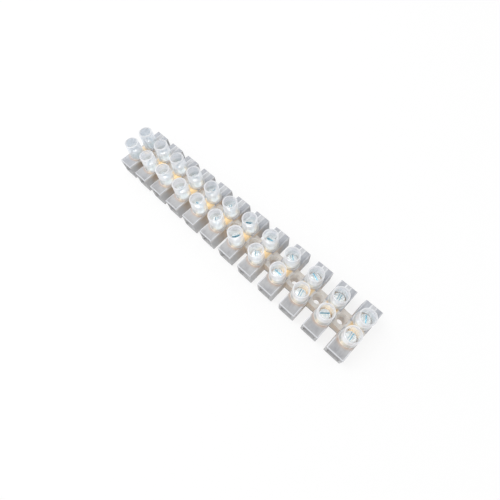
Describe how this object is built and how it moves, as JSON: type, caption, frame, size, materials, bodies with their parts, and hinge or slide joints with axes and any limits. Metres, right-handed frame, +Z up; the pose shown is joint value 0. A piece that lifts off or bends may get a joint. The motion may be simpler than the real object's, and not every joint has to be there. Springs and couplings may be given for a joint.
{
  "type": "barrier terminal strip",
  "caption": "Row of translucent screw-tower wire terminals: boxed bars, each with a brass clamp tube and slotted screws, joined by webs with fixing holes.",
  "frame": {"origin": "on the underside, at the middle of the strip", "axes": "+X along the strip towards the last way, +Y towards the mouths with ribbed boxes, +Z up through the screw towers"},
  "size_m": [0.1164, 0.0208, 0.0141],
  "materials": {
    "natural_plastic": "moulded, milky clear, with a slight sheen",
    "brass": "plain drawn tube",
    "zinc_plated_steel": "bright zinc plating"
  },
  "bodies": {
    "strip": {"housing": "natural_plastic", "clamp_tube_01": "brass", "clamp_tube_02": "brass", "clamp_tube_03": "brass", "clamp_tube_04": "brass", "clamp_tube_05": "brass", "clamp_tube_06": "brass", "clamp_tube_07": "brass", "clamp_tube_08": "brass", "clamp_tube_09": "brass", "clamp_tube_10": "brass", "clamp_tube_11": "brass", "clamp_tube_12": "brass"},
    "screw_ribbed_01": {"screw_ribbed_01": "zinc_plated_steel"},
    "screw_ribbed_02": {"screw_ribbed_02": "zinc_plated_steel"},
    "screw_ribbed_03": {"screw_ribbed_03": "zinc_plated_steel"},
    "screw_ribbed_04": {"screw_ribbed_04": "zinc_plated_steel"},
    "screw_ribbed_05": {"screw_ribbed_05": "zinc_plated_steel"},
    "screw_ribbed_06": {"screw_ribbed_06": "zinc_plated_steel"},
    "screw_ribbed_07": {"screw_ribbed_07": "zinc_plated_steel"},
    "screw_ribbed_08": {"screw_ribbed_08": "zinc_plated_steel"},
    "screw_ribbed_09": {"screw_ribbed_09": "zinc_plated_steel"},
    "screw_ribbed_10": {"screw_ribbed_10": "zinc_plated_steel"},
    "screw_ribbed_11": {"screw_ribbed_11": "zinc_plated_steel"},
    "screw_ribbed_12": {"screw_ribbed_12": "zinc_plated_steel"},
    "screw_plain_01": {"screw_plain_01": "zinc_plated_steel"},
    "screw_plain_02": {"screw_plain_02": "zinc_plated_steel"},
    "screw_plain_03": {"screw_plain_03": "zinc_plated_steel"},
    "screw_plain_04": {"screw_plain_04": "zinc_plated_steel"},
    "screw_plain_05": {"screw_plain_05": "zinc_plated_steel"},
    "screw_plain_06": {"screw_plain_06": "zinc_plated_steel"},
    "screw_plain_07": {"screw_plain_07": "zinc_plated_steel"},
    "screw_plain_08": {"screw_plain_08": "zinc_plated_steel"},
    "screw_plain_09": {"screw_plain_09": "zinc_plated_steel"},
    "screw_plain_10": {"screw_plain_10": "zinc_plated_steel"},
    "screw_plain_11": {"screw_plain_11": "zinc_plated_steel"},
    "screw_plain_12": {"screw_plain_12": "zinc_plated_steel"}
  },
  "joints": [
    {"name": "screw_ribbed_01_travel", "type": "slide", "parent": "strip", "child": "screw_ribbed_01", "axis": [0, 0, 1], "range_m": [-0.0027, 0.0005]},
    {"name": "screw_ribbed_02_travel", "type": "slide", "parent": "strip", "child": "screw_ribbed_02", "axis": [0, 0, 1], "range_m": [-0.0027, 0.0005]},
    {"name": "screw_ribbed_03_travel", "type": "slide", "parent": "strip", "child": "screw_ribbed_03", "axis": [0, 0, 1], "range_m": [-0.0027, 0.0005]},
    {"name": "screw_ribbed_04_travel", "type": "slide", "parent": "strip", "child": "screw_ribbed_04", "axis": [0, 0, 1], "range_m": [-0.0027, 0.0005]},
    {"name": "screw_ribbed_05_travel", "type": "slide", "parent": "strip", "child": "screw_ribbed_05", "axis": [0, 0, 1], "range_m": [-0.0027, 0.0005]},
    {"name": "screw_ribbed_06_travel", "type": "slide", "parent": "strip", "child": "screw_ribbed_06", "axis": [0, 0, 1], "range_m": [-0.0027, 0.0005]},
    {"name": "screw_ribbed_07_travel", "type": "slide", "parent": "strip", "child": "screw_ribbed_07", "axis": [0, 0, 1], "range_m": [-0.0027, 0.0005]},
    {"name": "screw_ribbed_08_travel", "type": "slide", "parent": "strip", "child": "screw_ribbed_08", "axis": [0, 0, 1], "range_m": [-0.0027, 0.0005]},
    {"name": "screw_ribbed_09_travel", "type": "slide", "parent": "strip", "child": "screw_ribbed_09", "axis": [0, 0, 1], "range_m": [-0.0027, 0.0005]},
    {"name": "screw_ribbed_10_travel", "type": "slide", "parent": "strip", "child": "screw_ribbed_10", "axis": [0, 0, 1], "range_m": [-0.0027, 0.0005]},
    {"name": "screw_ribbed_11_travel", "type": "slide", "parent": "strip", "child": "screw_ribbed_11", "axis": [0, 0, 1], "range_m": [-0.0027, 0.0005]},
    {"name": "screw_ribbed_12_travel", "type": "slide", "parent": "strip", "child": "screw_ribbed_12", "axis": [0, 0, 1], "range_m": [-0.0027, 0.0005]},
    {"name": "screw_plain_01_travel", "type": "slide", "parent": "strip", "child": "screw_plain_01", "axis": [0, 0, 1], "range_m": [-0.0027, 0.0005]},
    {"name": "screw_plain_02_travel", "type": "slide", "parent": "strip", "child": "screw_plain_02", "axis": [0, 0, 1], "range_m": [-0.0027, 0.0005]},
    {"name": "screw_plain_03_travel", "type": "slide", "parent": "strip", "child": "screw_plain_03", "axis": [0, 0, 1], "range_m": [-0.0027, 0.0005]},
    {"name": "screw_plain_04_travel", "type": "slide", "parent": "strip", "child": "screw_plain_04", "axis": [0, 0, 1], "range_m": [-0.0027, 0.0005]},
    {"name": "screw_plain_05_travel", "type": "slide", "parent": "strip", "child": "screw_plain_05", "axis": [0, 0, 1], "range_m": [-0.0027, 0.0005]},
    {"name": "screw_plain_06_travel", "type": "slide", "parent": "strip", "child": "screw_plain_06", "axis": [0, 0, 1], "range_m": [-0.0027, 0.0005]},
    {"name": "screw_plain_07_travel", "type": "slide", "parent": "strip", "child": "screw_plain_07", "axis": [0, 0, 1], "range_m": [-0.0027, 0.0005]},
    {"name": "screw_plain_08_travel", "type": "slide", "parent": "strip", "child": "screw_plain_08", "axis": [0, 0, 1], "range_m": [-0.0027, 0.0005]},
    {"name": "screw_plain_09_travel", "type": "slide", "parent": "strip", "child": "screw_plain_09", "axis": [0, 0, 1], "range_m": [-0.0027, 0.0005]},
    {"name": "screw_plain_10_travel", "type": "slide", "parent": "strip", "child": "screw_plain_10", "axis": [0, 0, 1], "range_m": [-0.0027, 0.0005]},
    {"name": "screw_plain_11_travel", "type": "slide", "parent": "strip", "child": "screw_plain_11", "axis": [0, 0, 1], "range_m": [-0.0027, 0.0005]},
    {"name": "screw_plain_12_travel", "type": "slide", "parent": "strip", "child": "screw_plain_12", "axis": [0, 0, 1], "range_m": [-0.0027, 0.0005]}
  ]
}
